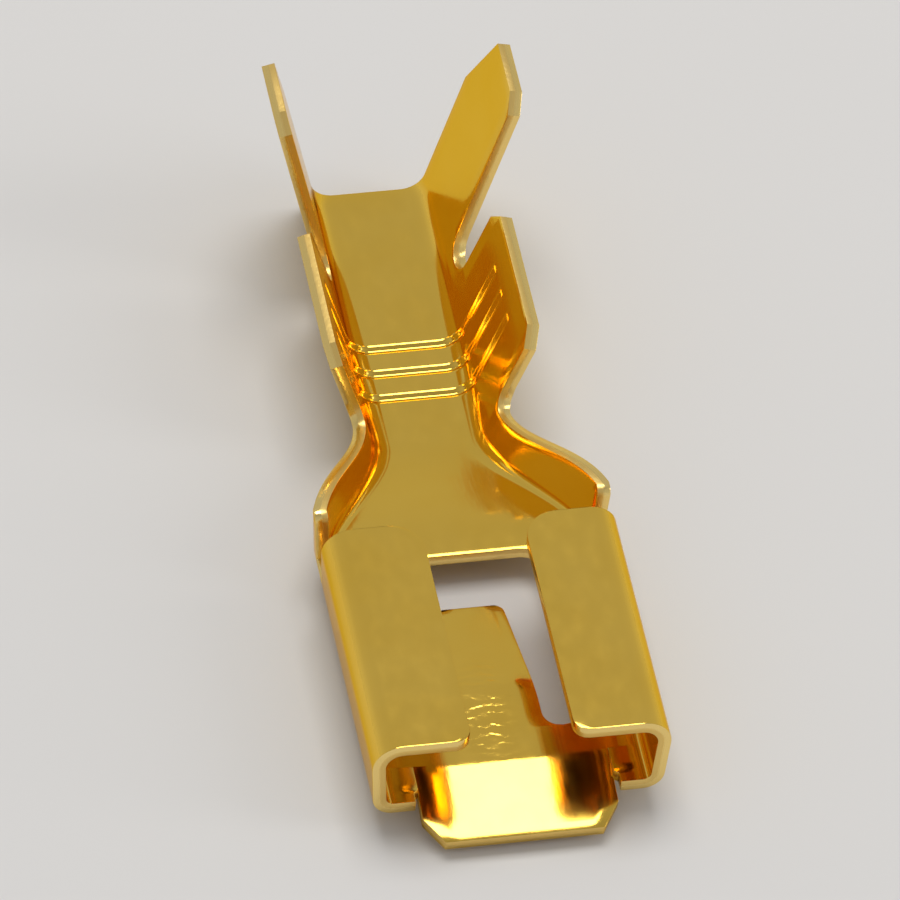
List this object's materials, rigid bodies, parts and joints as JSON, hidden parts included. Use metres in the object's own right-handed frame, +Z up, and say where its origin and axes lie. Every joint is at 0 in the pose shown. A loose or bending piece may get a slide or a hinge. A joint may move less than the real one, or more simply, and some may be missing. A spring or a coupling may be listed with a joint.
{
  "type": "female spade terminal",
  "caption": "Uninsulated female spade crimp terminal folded from one brass sheet, with rolled receptacle, locking tongue and open crimp barrel.",
  "frame": {"origin": "middle of the bounding box at its underside, on the plane the terminal rests on", "axes": "+Y runs from the receptacle's mouth to the crimp barrel, +X across the width, +Z up towards the open side with the flaps and wings"},
  "size_m": [0.0078, 0.023, 0.0066],
  "materials": {
    "brass": "bright rolled sheet, polished, with plain sheared edges"
  },
  "bodies": {
    "root": {"terminal": "brass"}
  },
  "joints": []
}
